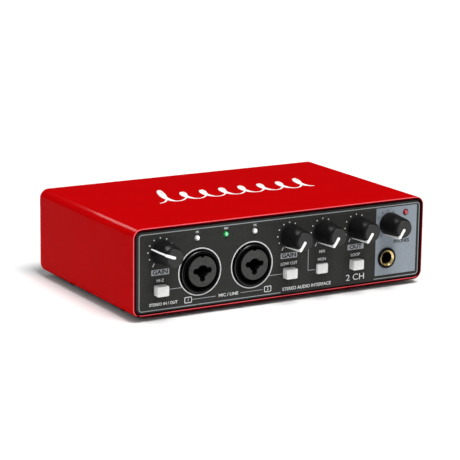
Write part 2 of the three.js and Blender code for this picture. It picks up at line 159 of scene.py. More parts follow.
def noise(material, size, detail=3.0, stretch=(1, 1, 1)):
    """A noise pattern whose features are about size millimetres across, fixed to the object."""
    nodes, links = material.node_tree.nodes, material.node_tree.links
    coordinates = nodes.new("ShaderNodeTexCoord")
    mapping = nodes.new("ShaderNodeMapping")
    mapping.inputs["Scale"].default_value = stretch
    texture = nodes.new("ShaderNodeTexNoise")
    texture.inputs["Scale"].default_value = 1 / (size * MM)
    texture.inputs["Detail"].default_value = detail
    links.new(coordinates.outputs["Object"], mapping.inputs["Vector"])
    links.new(mapping.outputs["Vector"], texture.inputs["Vector"])
    return texture.outputs["Fac"]


def vary_colour(material, pattern, dark, light, spread=(0.3, 0.7)):
    """Base colour that runs from dark to light over the pattern."""
    nodes, links = material.node_tree.nodes, material.node_tree.links
    ramp = nodes.new("ShaderNodeValToRGB")
    for element, place, colour in zip(ramp.color_ramp.elements, spread, (dark, light)):
        element.position = place
        element.color = colour
    links.new(pattern, ramp.inputs["Fac"])
    links.new(ramp.outputs["Color"], nodes["Principled BSDF"].inputs["Base Color"])


def vary_roughness(material, pattern, low, high):
    nodes, links = material.node_tree.nodes, material.node_tree.links
    scale = nodes.new("ShaderNodeMapRange")
    scale.inputs["To Min"].default_value = low
    scale.inputs["To Max"].default_value = high
    links.new(pattern, scale.inputs["Value"])
    links.new(scale.outputs["Result"], nodes["Principled BSDF"].inputs["Roughness"])


def bump(material, pattern, height, strength=1.0):
    """Surface relief of height millimetres over the pattern."""
    nodes, links = material.node_tree.nodes, material.node_tree.links
    node = nodes.new("ShaderNodeBump")
    node.inputs["Distance"].default_value = height * MM
    node.inputs["Strength"].default_value = strength
    links.new(pattern, node.inputs["Height"])
    links.new(node.outputs["Normal"], nodes["Principled BSDF"].inputs["Normal"])


def red_paint(name, colour, gloss):
    """Smooth red paint under a thin clear coat, with a faint grain."""
    material = shader(name, colour, 0.5, Specular_IOR_Level=0.0, Coat_Weight=gloss, Coat_Roughness=0.13)
    light = tuple(min(1, value * 1.05) for value in colour[:3]) + (1,)
    vary_colour(material, noise(material, 24, 2), colour, light)
    bump(material, noise(material, 0.7, 2), 0.012, 0.35)
    return material


def graphite_paint():
    material = shader("graphite_paint", srgb(50, 50, 48), 0.6, Specular_IOR_Level=0.08)
    vary_colour(material, noise(material, 0.35, 4), srgb(41, 41, 40), srgb(55, 55, 53))
    vary_roughness(material, noise(material, 0.5), 0.52, 0.7)
    bump(material, noise(material, 0.3, 2), 0.02, 0.5)
    return material


def silver_film():
    material = shader("silver_film", srgb(150, 156, 166), 0.5, 0.1, Specular_IOR_Level=0.15)
    vary_colour(material, noise(material, 0.4, 4), srgb(130, 138, 147), srgb(150, 158, 166))
    vary_roughness(material, noise(material, 0.6), 0.42, 0.6)
    bump(material, noise(material, 0.3, 2), 0.015, 0.4)
    return material


def moulded_plastic(name, colour, lighter, roughness, grain=0.4, relief=0.01, **sockets):
    material = shader(name, colour, roughness, **sockets)
    vary_colour(material, noise(material, grain * 3, 3), colour, lighter)
    vary_roughness(material, noise(material, grain * 2), roughness - 0.06, roughness + 0.06)
    bump(material, noise(material, grain, 2), relief, 0.5)
    return material


def metal(name, dark, light, roughness, stretch=(1, 1, 1)):
    material = shader(name, light, roughness, 1.0)
    vary_colour(material, noise(material, 1.5, 3, stretch), dark, light)
    vary_roughness(material, noise(material, 0.5, 3, stretch), roughness - 0.06, roughness + 0.08)
    bump(material, noise(material, 0.4, 2, stretch), 0.006, 0.4)
    return material


def lens(name, colour, glow, power):
    material = shader(name, colour, 0.15, Emission_Color=glow, Emission_Strength=power,
                      Subsurface_Weight=0.3, Subsurface_Radius=(1, 1, 1), Subsurface_Scale=0.001)
    light = tuple(min(1, value * 1.25 + 0.01) for value in colour[:3]) + (1,)
    vary_colour(material, noise(material, 0.9, 2), colour, light)
    return material


def solder_mask():
    material = shader("solder_mask", srgb(24, 84, 48), 0.45)
    vary_colour(material, noise(material, 2.2, 1, (1, 0.15, 1)), srgb(20, 70, 40), srgb(34, 104, 60),
                (0.48, 0.52))
    bump(material, noise(material, 1.1, 2), 0.03, 0.4)
    return material


def ink(name, colour):
    material = shader(name, colour, 0.55, Specular_IOR_Level=0.2)
    light = tuple(min(1, value * 1.06) for value in colour[:3]) + (1,)
    vary_colour(material, noise(material, 0.5, 3), colour, light)
    return material


RED = red_paint("red_paint", srgb(184, 2, 5), 0.05)
# Painted highlight: a lighter red along the lip's edge.
RED_PAINTED_HIGHLIGHT = red_paint("red_painted_highlight", srgb(226, 84, 90), 0.2)
# Painted shade: a dark red beside the lip's painted highlight and over the underside.
RED_PAINTED_SHADE = red_paint("red_painted_shade", srgb(62, 2, 6), 0.0)
GRAPHITE = graphite_paint()
SILVER = silver_film()
BLACK = moulded_plastic("black_plastic", grey(9), grey(12), 0.35, Specular_IOR_Level=0.04)
JET_BLACK = moulded_plastic("jet_black", grey(3), grey(6), 0.35, Specular_IOR_Level=0.04)
# The barrel's shoulder ring: its lighter grey is a painted highlight, its gloss is the shader's own.
SHOULDER_PAINTED_HIGHLIGHT = moulded_plastic("shoulder_painted_highlight", grey(26), grey(34), 0.28,
                                 Specular_IOR_Level=0.6)
KNOB_BLACK = moulded_plastic("knob_black", grey(17), grey(24), 0.42, 0.25, 0.015,
                             Specular_IOR_Level=0.15)
KNOB_FACE = moulded_plastic("knob_face", srgb(48, 48, 47), srgb(57, 57, 56), 0.5, 0.25, 0.015,
                            Specular_IOR_Level=0.15)
INSERT_GREY = moulded_plastic("insert_grey", srgb(58, 58, 57), srgb(69, 69, 68), 0.55,
                              Specular_IOR_Level=0.1)
WHITE = moulded_plastic("white_plastic", srgb(238, 238, 236), srgb(246, 246, 244), 0.3, 0.5, 0.004)
# Painted shade: a near-black put inside the sleeve, on its rails, in the sockets' holes and wells, where
# there is only shade.
SHADOW_BLACK = moulded_plastic("painted_shade_black", grey(8), grey(14), 0.8, Specular_IOR_Level=0.1)
RUBBER = moulded_plastic("rubber", grey(20), grey(30), 0.85, 0.3, 0.03)
RIBBON = moulded_plastic("ribbon_grey", srgb(140, 143, 148), srgb(160, 163, 168), 0.6)
BLUE_SLEEVE = moulded_plastic("capacitor_blue", srgb(30, 44, 72), srgb(40, 56, 90), 0.35)
GOLD = metal("gold_plate", srgb(232, 206, 132), srgb(250, 234, 180), 0.26)
STEEL = metal("zinc_steel", srgb(160, 162, 166), srgb(196, 198, 202), 0.34, (1, 4, 1))
BLACK_METAL = metal("black_nut", srgb(18, 18, 19), srgb(34, 34, 36), 0.38)
BOARD = solder_mask()
# Each LED: its lens, then a lighter tip that is a painted highlight; the lit lenses' glow is their own
# light.
CLEAR_LENS = (lens("clear_lens", srgb(176, 176, 178), grey(255), 0.0),
              lens("clear_tip_highlight", grey(238), grey(255), 0.1))
GREEN_LENS = (lens("green_lens", srgb(8, 120, 52), srgb(20, 200, 90), 0.08),
              lens("green_tip_highlight", srgb(118, 206, 152), srgb(150, 255, 190), 0.12))
RED_LENS = (lens("red_lens", srgb(130, 4, 16), srgb(190, 10, 30), 0.02),
            lens("red_tip_highlight", srgb(180, 76, 94), srgb(255, 120, 130), 0.05))
INK_WHITE = ink("ink_white", srgb(214, 216, 216))
INK_GREY = ink("ink_grey", srgb(158, 160, 164))
INK_LINE = ink("ink_line", srgb(142, 148, 150))
INK_DARK = ink("ink_dark", srgb(40, 42, 48))
INK_BRIGHT = ink("ink_bright", grey(246))


# ---- Mesh helpers ----
def mesh_object(name, vertices, faces, materials, smooth_deg=30):
    """A mesh object from points in millimetres. materials is one material or a list of them."""
    mesh = bpy.data.meshes.new(name)
    mesh.from_pydata([Vector(v) * MM for v in vertices], [], faces)
    piece = bpy.data.objects.new(name, mesh)
    bpy.context.scene.collection.objects.link(piece)
    for material in materials if isinstance(materials, (list, tuple)) else [materials]:
        mesh.materials.append(material)
    tidy_mesh(mesh, smooth_deg)
    return piece


def tidy_mesh(mesh, smooth_deg=30):
    """Joins doubled points, turns faces outward and shades smooth across shallow edges."""
    work = bmesh.new()
    work.from_mesh(mesh)
    bmesh.ops.remove_doubles(work, verts=work.verts, dist=0.002 * MM)
    bmesh.ops.recalc_face_normals(work, faces=work.faces)
    work.to_mesh(mesh)
    work.free()
    mesh.shade_smooth()
    mesh.set_sharp_from_angle(angle=math.radians(smooth_deg))


def arc(x, y, radius, start_deg, end_deg, steps):
    angles = [math.radians(start_deg + (end_deg - start_deg) * i / steps) for i in range(steps + 1)]
    return [(x + radius * math.cos(a), y + radius * math.sin(a)) for a in angles]


def disc(x, y, radius, steps=48):
    return arc(x, y, radius, 0, 360, steps)[:-1]


def rounded_box(x, y, width, height, radius, steps=8):
    dx, dy = width / 2 - radius, height / 2 - radius
    corners = ((1, 1, 0), (-1, 1, 90), (-1, -1, 180), (1, -1, 270))
    return [p for sx, sy, start in corners
            for p in arc(x + sx * dx, y + sy * dy, radius, start, start + 90, steps)]


def softened(points, steps=4):
    """A profile of (radius, y, rounding) corners as (radius, y) points, with each corner rounded off."""
    result = []
    for i, (r, y, rounding) in enumerate(points):
        here = Vector((r, y))
        if rounding <= 0 or i in (0, len(points) - 1):
            result.append((r, y))
            continue
        before = (Vector(points[i - 1][:2]) - here).normalized()
        after = (Vector(points[i + 1][:2]) - here).normalized()
        start, end = here + before * rounding, here + after * rounding
        for k in range(steps + 1):
            t = k / steps
            p = start * (1 - t) ** 2 + here * 2 * t * (1 - t) + end * t ** 2
            result.append((p.x, p.y))
    return result


def lathe(profile, x, z, steps=64, ring=False):
    """Vertices and faces of a (radius, y) profile turned about a line along Y. ring closes the profile."""
    vertices, rows = [], []
    for radius, y in profile:
        if radius < 1e-6:
            rows.append([len(vertices)] * steps)
            vertices.append((x, y, z))
            continue
        rows.append(list(range(len(vertices), len(vertices) + steps)))
        vertices += [(x + radius * math.cos(a), y, z + radius * math.sin(a))
                     for a in (2 * math.pi * i / steps for i in range(steps))]
    faces = []
    pairs = list(zip(rows, rows[1:])) + ([(rows[-1], rows[0])] if ring else [])
    for near, far in pairs:
        for i in range(steps):
            j = (i + 1) % steps
            corners = []
            for index in (near[i], near[j], far[j], far[i]):
                if index not in corners:
                    corners.append(index)
            if len(corners) > 2:
                faces.append(corners)
    return vertices, faces


def band(near, far):
    """The quads between two loops of equally many points."""
    count = len(near)
    return [(near[k], near[(k + 1) % count], far[(k + 1) % count], far[k]) for k in range(count)]


def merged(*parts):
    """Several (vertices, faces) lists as one."""
    vertices, faces = [], []
    for part_vertices, part_faces in parts:
        start = len(vertices)
        vertices += part_vertices
        faces += [[start + i for i in face] for face in part_faces]
    return vertices, faces


def moved(part, matrix):
    vertices, faces = part
    return [matrix @ Vector(v) for v in vertices], faces


def distance(polygon, at):
    """How far a face's middle is from a line along Y through a point, in millimetres."""
    return math.hypot(polygon.center.x / MM - at.x, polygon.center.z / MM - at.z)


def use_second_material(piece, is_second):
    for polygon in piece.data.polygons:
        if is_second(polygon):
            polygon.material_index = 1


def turned(part, degrees, at):
    """A part drawn along +X from the origin's Y axis, turned about that axis and moved to a point."""
    c, s = math.cos(math.radians(degrees)), math.sin(math.radians(degrees))
    return moved(part, Matrix(((c, 0, -s, at.x), (0, 1, 0, 0), (s, 0, c, at.z), (0, 0, 0, 1))))


def upright(part, x, y):
    """A lathe part made about the origin's Y axis, stood up along Z at x and y."""
    return moved(part, Matrix.Translation((x, y, 0)) @ Matrix.Rotation(math.radians(90), 4, "X"))


def box_part(x0, x1, y0, y1, z0, z1):
    vertices = [(x, y, z) for x in (x0, x1) for y in (y0, y1) for z in (z0, z1)]
    faces = [(0, 1, 3, 2), (4, 6, 7, 5), (0, 4, 5, 1), (2, 3, 7, 6), (0, 2, 6, 4), (1, 5, 7, 3)]
    return vertices, faces


def flat_mesh(outlines, thickness, bevel=0.0):
    """A filled shape (an outline inside another is a hole) from 0 to thickness along its local Z."""
    curve = bpy.data.curves.new("outline", "CURVE")
    curve.dimensions = "2D"
    curve.fill_mode = "BOTH"
    curve.extrude = (thickness / 2 - bevel) * MM
    curve.bevel_depth = bevel * MM
    curve.offset = -bevel * MM
    curve.bevel_resolution = 2
    for outline in outlines:
        spline = curve.splines.new("POLY")
        spline.points.add(len(outline) - 1)
        for point, (u, v) in zip(spline.points, outline):
            point.co = (u * MM, v * MM, 0, 1)
        spline.use_cyclic_u = True
    return mesh_of_curve(curve, Matrix.Translation((0, 0, thickness / 2 * MM)))


def text_mesh(words, size, u, v, thickness=INK, stretch=1.0, bold=0.0):
    """Plain lettering centred on u and v, its strokes widened by bold millimetres on each side."""
    curve = bpy.data.curves.new("words", "FONT")
    curve.body = words
    curve.offset = bold * MM
    curve.size = size * MM
    curve.align_x = "CENTER"
    curve.align_y = "CENTER"
    curve.extrude = thickness / 2 * MM
    place = Matrix.Translation((u * MM, v * MM, thickness / 2 * MM)) @ Matrix.Diagonal((stretch, 1, 1, 1))
    return mesh_of_curve(curve, place)


def mesh_of_curve(curve, matrix):
    holder = bpy.data.objects.new("holder", curve)
    bpy.context.scene.collection.objects.link(holder)
    bpy.context.view_layer.update()
    mesh = bpy.data.meshes.new_from_object(holder.evaluated_get(bpy.context.evaluated_depsgraph_get()))
    mesh.transform(matrix)
    bpy.data.objects.remove(holder)
    bpy.data.curves.remove(curve)
    return mesh


# Where flat shapes go: each turns local u, v and height into the frame
FRONT_FACE = Matrix.Translation((0, FACE_Y * MM, 0)) @ Matrix.Rotation(math.radians(90), 4, "X")
REAR_FACE = Matrix.Translation((0, REAR_Y * MM, 0)) @ Matrix.Rotation(math.radians(180), 4, "Z") \
    @ Matrix.Rotation(math.radians(90), 4, "X")


def flat_object(name, meshes, plane, material, smooth_deg=30):
    """One object from flat meshes, laid on a plane."""
    work = bmesh.new()
    for mesh in meshes:
        work.from_mesh(mesh)
        bpy.data.meshes.remove(mesh)
    whole = bpy.data.meshes.new(name)
    work.to_mesh(whole)
    work.free()
    whole.transform(plane)
    whole.materials.clear()
    whole.materials.append(material)
    piece = bpy.data.objects.new(name, whole)
    bpy.context.scene.collection.objects.link(piece)
    tidy_mesh(whole, smooth_deg)
    return piece


def settle(piece, body, slot, *nodes):
    """The piece moves with a body and stands for CAD nodes, which it hides; the slot is not used."""
    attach(piece, body)
    if nodes:
        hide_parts(*nodes)
    return piece


# ---- Sleeve ----
def sleeve():
    """The painted sleeve as loops that run round the wall's own cross-section."""
    centre_z = (SLEEVE_LOW.z + SLEEVE_HIGH.z) / 2
    width, height = SLEEVE_HIGH.x - SLEEVE_LOW.x, SLEEVE_HIGH.z - SLEEVE_LOW.z
    front, back = SLEEVE_LOW.y, SLEEVE_HIGH.y
    lip = SLEEVE_WALL - 0.2
    walls = softened([
        (0, (front + back) / 2, 0), (0, front, LIP_ROUND), (lip, front, 0.35),
        (SLEEVE_WALL, front + 0.5, 0.1),
        (SLEEVE_WALL, back - 0.5, 0.1), (lip, back, 0.35), (0, back, LIP_ROUND), (0, (front + back) / 2, 0),
    ], 5)[:-1]
    vertices, rows = [], []
    for inset, y in walls:
        loop = rounded_box(0, centre_z, width - 2 * inset, height - 2 * inset, SLEEVE_CORNER - inset, 12)
        rows.append(range(len(vertices), len(vertices) + len(loop)))
        vertices += [(x, y, z) for x, z in loop]
    faces, chosen_materials = [], []
    for i, near in enumerate(rows):
        following = (i + 1) % len(rows)
        inset = (walls[i][0] + walls[following][0]) / 2
        faces += band(near, rows[following])
        chosen_materials += [sleeve_paint_and_painted_light(inset, vertices[k][2] < SLEEVE_LOW.z + SLEEVE_WALL) for k in near]
    # Red paint, its painted highlight, its painted shade and the near-black painted shade inside.
    materials = [RED, RED_PAINTED_HIGHLIGHT, RED_PAINTED_SHADE, SHADOW_BLACK]
    piece = mesh_object("sleeve", vertices, faces, materials, 40)
    for polygon, surface_choice in zip(piece.data.polygons, chosen_materials):
        polygon.material_index = materials.index(surface_choice)
    settle(piece, CHASSIS, "sleeve_paint", "case_sleeve")


def sleeve_paint_and_painted_light(inset, is_bottom):
    """The red at an inset into the wall: a lighter band along the lip is a painted highlight, a darker one
    beside it and over the underside is painted shade, and the inside is a near-black painted shade.
    """
    # Painted shade: near-black on the wall's inside, behind the lip.
    if inset > SLEEVE_WALL - 0.1:
        return SHADOW_BLACK
    highlight_from, highlight_to = LIP_PAINTED_HIGHLIGHT["bottom" if is_bottom else "side"]
    if highlight_from < inset < highlight_to:
        return RED_PAINTED_HIGHLIGHT
    # Painted shade beside the highlight band and over the whole underside.
    if inset > highlight_from or is_bottom:
        return RED_PAINTED_SHADE
    return RED


def sleeve_rails():
    """Board rails and screw bosses on the sleeve's inside."""
    board_low, board_high = span("main_board")
    inner_x = SLEEVE_HIGH.x - SLEEVE_WALL
    boss_front = span("rear_screw_1")[0].y
    parts = []
    for side in (-1, 1):
        x0, x1 = sorted((side * (inner_x - 2), side * (inner_x + 0.4)))
        for z in (board_low.z - 1.8, board_high.z + 0.3):
            parts.append(box_part(x0, x1, board_low.y, boss_front, z, z + 1.5))
    for i in range(4):
        at = middle(f"rear_screw_{i + 1}")
        profile = [(1.7, boss_front), (3.8, boss_front), (3.8, REAR_LOW.y - 0.3), (1.7, REAR_LOW.y - 0.3)]
        parts.append(lathe(profile, at.x, at.z, 40, ring=True))
    # The rails and bosses take the near-black painted shade of the sleeve's inside.
    settle(mesh_object("sleeve_rails", *merged(*parts), SHADOW_BLACK), CHASSIS, "sleeve_paint")


def wave_motif():
    """A plain looping pen stroke on the top, thick on its way down and thin on its way up."""
    curve = bpy.data.curves.new("wave", "CURVE")
    curve.dimensions = "3D"
    curve.bevel_depth = MM
    curve.bevel_resolution = 2
    curve.use_fill_caps = True
    spline = curve.splines.new("POLY")
    steps, loops, length = 420, 8.0, 97.0
    spline.points.add(steps)
    for i, point in enumerate(spline.points):
        t = i / steps
        turn = 2 * math.pi * loops * t
        first, last = (math.exp(-(((t - place) / 0.05) ** 2)) for place in (0.06, 0.93))
        tall = 9.0 + 7.0 * first + 2.5 * last
        v = tall * (0.35 - math.cos(turn))
        u = (t - 0.5) * length + 3.6 * math.sin(turn) + 0.3 * v
        point.co = ((u + 3.5) * MM, (SLEEVE_LOW.y + 56 + v) * MM, 0, 1)
        point.radius = 0.55 + 1.05 * max(0, -math.sin(turn)) ** 1.3
    flat = Matrix.Translation((0, 0, SLEEVE_HIGH.z * MM)) @ Matrix.Diagonal((1, 1, INK, 1))
    piece = flat_object("top_wave", [mesh_of_curve(curve, flat)], Matrix(), INK_BRIGHT)
    settle(piece, CHASSIS, "white_plastic")


# ---- Front panel ----
def panel_outline():
    centre_z = (PANEL_LOW.z + PANEL_HIGH.z) / 2
    return rounded_box(0, centre_z, PANEL_HIGH.x - PANEL_LOW.x, PANEL_HIGH.z - PANEL_LOW.z, PANEL_CORNER, 10)


def control_holes():
    """Outlines of the holes for the knobs, buttons, LEDs and the headphone socket."""
    holes = [disc(at.x, at.z, KNOB_HOLE) for at in KNOB_AT.values()]
    holes += [rounded_box(at.x, at.z, *BUTTON_HOLE, 1.0, 4) for at in BUTTON_AT.values()]
    holes += [disc(at.x, at.z, LED_HOLE, 32) for at in LED_AT.values()]
    holes.append(disc(PHONES_AT.x, PHONES_AT.z, PHONES_HOLE))
    return holes


def front_panel():
    holes = control_holes() + [disc(at.x, at.z, COMBO_BARREL + 0.25, 96) for at in COMBO_AT]
    thickness = PANEL_HIGH.y - PANEL_LOW.y
    plane = FRONT_FACE @ Matrix.Translation((0, 0, -thickness * MM))
    plate = flat_mesh([panel_outline()] + holes, thickness, PLATE_BEVEL)
    piece = flat_object("panel_plate", [plate], plane, GRAPHITE)
    settle(piece, CHASSIS, "graphite_panel", "front_panel")


FIELD = {"left": 58.0, "right": 84.4, "low": PANEL_LOW.z + 2.7, "high": PANEL_HIGH.z - 2.2}


def silver_field():
    """The light field round the headphone controls, with its own holes."""
    u, v = (FIELD["left"] + FIELD["right"]) / 2, (FIELD["low"] + FIELD["high"]) / 2
    outline = rounded_box(u, v, FIELD["right"] - FIELD["left"], FIELD["high"] - FIELD["low"], 0.3, 3)
    holes = [disc(KNOB_AT["phones"].x, KNOB_AT["phones"].z, KNOB_HOLE),
             disc(LED_AT["power"].x, LED_AT["power"].z, LED_HOLE, 32),
             disc(PHONES_AT.x, PHONES_AT.z, PHONES_HOLE)]
    piece = flat_object("silver_field", [flat_mesh([outline] + holes, INK)], FRONT_FACE, SILVER)
    settle(piece, CHASSIS, "steel")


def bar(u0, v0, u1, v1, thickness):
    """A straight stroke between two points, as an outline."""
    along = Vector((u1 - u0, v1 - v0)).normalized() * thickness / 2
    side = Vector((-along.y, along.x))
    corners = (Vector((u0, v0)) - along, Vector((u1, v1)) + along)
    return [tuple(corners[0] - side), tuple(corners[1] - side), tuple(corners[1] + side),
            tuple(corners[0] + side)]


def border_line():
    """The thin line round the panel. It breaks off under the row of words at the bottom."""
    inset, thickness, corner = BORDER_INSET, 0.45, 1.6
    left, right = PANEL_LOW.x + inset, PANEL_HIGH.x - 0.5
    low, high = PANEL_LOW.z + 1.0, PANEL_HIGH.z - 1.35
    half = thickness / 2
    gap_left, gap_right = -1.5, FIELD["left"] - 0.6

    def run(offset):
        radius = corner + offset
        lo_x, hi_x, lo_z, hi_z = left - offset, right + offset, low - offset, high + offset
        return ([(gap_right, lo_z)] + arc(hi_x - radius, lo_z + radius, radius, -90, 0, 8)
                + arc(hi_x - radius, hi_z - radius, radius, 0, 90, 8)
                + arc(lo_x + radius, hi_z - radius, radius, 90, 180, 8)
                + arc(lo_x + radius, lo_z + radius, radius, 180, 270, 8) + [(gap_left, lo_z)])

    outline = run(half) + run(-half)[::-1]
    piece = flat_object("border_line", [flat_mesh([outline], INK)], FRONT_FACE, INK_LINE)
    settle(piece, CHASSIS, "graphite_panel")


def dial_marks(at):
    """Dots round a knob, with a short stroke at each end of its travel."""
    marks = [disc(at.x + DIAL_RADIUS * math.cos(a), at.z + DIAL_RADIUS * math.sin(a), 0.36, 16)
             for a in (math.radians(210 - 30 * i) for i in range(9))]
    for degrees in (240, -60):
        c, s = math.cos(math.radians(degrees)), math.sin(math.radians(degrees))
        marks.append(bar(at.x + 7.0 * c, at.z + 7.0 * s, at.x + 8.6 * c, at.z + 8.6 * s, 0.4))
    return marks


def panel_print():
    """White and grey printing on the graphite part of the panel."""
    white, pale, dark = [], [], []
    for name in KNOBS[:4]:
        white += [flat_mesh([mark], INK) for mark in dial_marks(KNOB_AT[name])]
    for at in COMBO_AT:
        white.append(flat_mesh([disc(at.x, at.z, 12.55, 96), disc(at.x, at.z, 12.0, 96)], INK))

    line = 0.3
    ring = 12.7
    button_half = 4.2
    joins = [(BUTTON_AT["hi_z"].x + button_half, COMBO_AT[0].x - ring + 2.6),
             (COMBO_AT[1].x + ring - 2.2, BUTTON_AT["low_cut"].x - button_half)]
    link_z = BUTTON_AT["hi_z"].z - 0.2
    for u0, u1 in joins:
        pale.append(flat_mesh([bar(u0, link_z, u1, link_z, line)], INK))
    mix = KNOB_AT["mix"]
    corner_x, corner_top, corner_end = mix.x - 8.6, 27, mix.x - button_half
    pale.append(flat_mesh([[(corner_x - line / 2, corner_top), (corner_x - line / 2, link_z - line / 2),
                            (corner_end, link_z - line / 2), (corner_end, link_z + line / 2),
                            (corner_x + line / 2, link_z + line / 2),
                            (corner_x + line / 2, corner_top)]], INK))

    badge_z = 25.0
    for name, words in (("gain_1", "GAIN"), ("gain_2", "GAIN"), ("output", "OUT")):
        u = KNOB_AT[name].x
        pale.append(flat_mesh([rounded_box(u, badge_z, 10.2, 3.0, 0.3, 3)], INK))
        dark.append(text_mesh(words, 3.0, u, badge_z, 2 * INK, 1.22, 0.1))
    label_z = 20.6
    button_words = {"hi_z": "HI-Z", "low_cut": "LOW CUT", "monitor": "MON", "loopback": "LOOP"}
    for name, words in button_words.items():
        white.append(text_mesh(words, 2.2, BUTTON_AT[name].x, label_z, bold=0.03))
    white.append(text_mesh("MIX", 2.2, mix.x, 24.8, bold=0.03))
    for name, words in (("peak_1", "PK"), ("phantom", "48V"), ("peak_2", "PK")):
        white.append(text_mesh(words, 1.7, LED_AT[name].x, LED_AT[name].z + 3.0))

    foot_z = 8.5
    for u, words in ((-56.8, "1"), (-9.4, "2")):
        outer, inner = rounded_box(u, foot_z, 4.3, 3.2, 0.5, 3), rounded_box(u, foot_z, 3.6, 2.5, 0.3, 3)
        white.append(flat_mesh([outer, inner], INK))
        white.append(text_mesh(words, 2.2, u, foot_z))
    for u0, u1 in ((-54.3, -40.9), (-25.6, -12.8)):
        pale.append(flat_mesh([bar(u0, foot_z, u1, foot_z, line)], INK))
    labels = [("MIC / LINE", 2.3, -33.1, foot_z, INK, 1.12, 0.03),
              ("STEREO IN / OUT", 2.1, -71.1, foot_z - 0.2, INK, 1, 0.04),
              ("STEREO AUDIO INTERFACE", 2.45, 14.7, 7.0, INK, 1, 0.03),
              ("2 CH", 4.8, 45.4, 8.2, INK, 1.14)]
    white += [text_mesh(*label) for label in labels]

    settle(flat_object("print_white", white, FRONT_FACE, INK_WHITE), CHASSIS, "white_plastic")
    settle(flat_object("print_grey", pale, FRONT_FACE, INK_GREY), CHASSIS, "steel")
    settle(flat_object("badge_words", dark, FRONT_FACE, INK_DARK), CHASSIS, "black_plastic")


def field_print():
    """Dark printing on the silver field."""
    marks = [flat_mesh([mark], 2 * INK) for mark in dial_marks(KNOB_AT["phones"])]
    marks.append(text_mesh("PHONES", 2.7, 74.8, 25.0, 2 * INK, 1.0, 0.08))
    settle(flat_object("field_words", marks, FRONT_FACE, INK_DARK), CHASSIS, "black_plastic")


# ---- Knobs ----
KNOB_BASE_RADIUS = 6.4
KNOB_FRONT_RADIUS = 5.3
RIB_RADIUS = 6.1
RIB_FOOT_RADIUS = 6.55


def knob(name):
    at = KNOB_AT[name]
    low, high = span("knob_" + name)
    tip, base = low.y, high.y
    face = tip + 0.3
    profile = softened([
        (0, face + 0.25, 0), (3.6, face + 0.1, 0.5), (4.3, face, 0.3), (KNOB_FRONT_RADIUS, face + 1.2, 0.9),
        (KNOB_BASE_RADIUS, base - 0.6, 0.4), (KNOB_BASE_RADIUS - 0.2, base, 0.2), (3.5, base, 0.1),
        (3.5, base - 1.2, 0.1), (0, base - 1.2, 0),
    ])
    body = lathe(profile, at.x, at.z, 96)
    piece = mesh_object(f"knob_cap_{name}", *body, [KNOB_BLACK, KNOB_FACE], 35)
    use_second_material(piece, lambda polygon: polygon.center.y / MM < face + 0.35)
    settle(piece, "knob_" + name, "black_plastic", "knob_" + name)
    rib = turned(pointer_rib(tip, base), POINTER_DEG[name], at)
    pointer = mesh_object(f"knob_pointer_{name}", *rib, INK_BRIGHT, 35)
    settle(pointer, "knob_" + name, "white_plastic")


def pointer_rib(tip, base):
    """The white rib, drawn along +X: up the side, over the rim and in to the middle of the face."""
    bend = 0.7
    path = [(RIB_FOOT_RADIUS, base - 0.3, 0.38),
            ((RIB_RADIUS + RIB_FOOT_RADIUS) / 2, (tip + base) / 2, 0.43)]
    path += [(r, y, 0.5 + 0.2 * i / 6) for i, (r, y) in
             enumerate(arc(RIB_RADIUS - bend, tip + bend, bend, 0, -90, 6))]
    end = 0.75
    path += [(end, tip, 0.75)]
    path += [(end - 0.75 * math.sin(a), tip, 0.75 * math.cos(a))
             for a in (math.radians(18 * i) for i in range(1, 5))]
    path.append((end - 0.75, tip, 0.12))
    sunk = 1.15
    rows, vertices = [], []
    for i, (r, y, half) in enumerate(path):
        before, after = path[max(i - 1, 0)], path[min(i + 1, len(path) - 1)]
        along = Vector((after[0] - before[0], after[1] - before[1])).normalized()
        inward = Vector((along.y, -along.x))
        if inward.dot(Vector((-1, 1))) < 0:
            inward.negate()
        soft = min(0.12, half / 2)
        section = [(0, half - soft), (soft, half), (sunk, half),
                   (sunk, -half), (soft, -half), (0, soft - half)]
        rows.append(range(len(vertices), len(vertices) + len(section)))
        vertices += [(r + inward.x * deep, y + inward.y * deep, side) for deep, side in section]
    faces = [tuple(rows[0]), tuple(reversed(rows[-1]))]
    for near, far in zip(rows, rows[1:]):
        faces += band(near, far)
    return vertices, faces


# ---- Buttons and LEDs ----
def button(name):
    """A cap with rounded edges and a slightly crowned face, and its stem."""
    low, high = span("button_" + name)
    at = BUTTON_AT[name]
    width, height = BUTTON_CAP
    rows, vertices = [], []
    levels = [(0.6, 0.0), (0.35, 0.03), (0.16, 0.1), (0.05, 0.22), (0.0, 0.4), (0.0, 5.3)]
    for inset, depth in levels:
        corner = 0.65 - inset * 0.4
        loop = rounded_box(at.x, at.z, width - 2 * inset, height - 2 * inset, corner, 6)
        rows.append(range(len(vertices), len(vertices) + len(loop)))
        vertices += [(x, low.y + depth, z) for x, z in loop]
    crown = len(vertices)
    vertices.append((at.x, low.y, at.z))
    count = len(rows[0])
    faces = [(rows[0][(k + 1) % count], rows[0][k], crown) for k in range(count)]
    for near, far in zip(rows, rows[1:]):
        faces += band(near, far)
    faces.append(tuple(rows[-1]))
    stem = box_part(at.x - 1.5, at.x + 1.5, low.y + 5, high.y, at.z - 1.5, at.z + 1.5)
    piece = mesh_object("button_cap_" + name, *merged((vertices, faces), stem), WHITE, 40)
    settle(piece, "button_" + name, "white_plastic", "button_" + name)


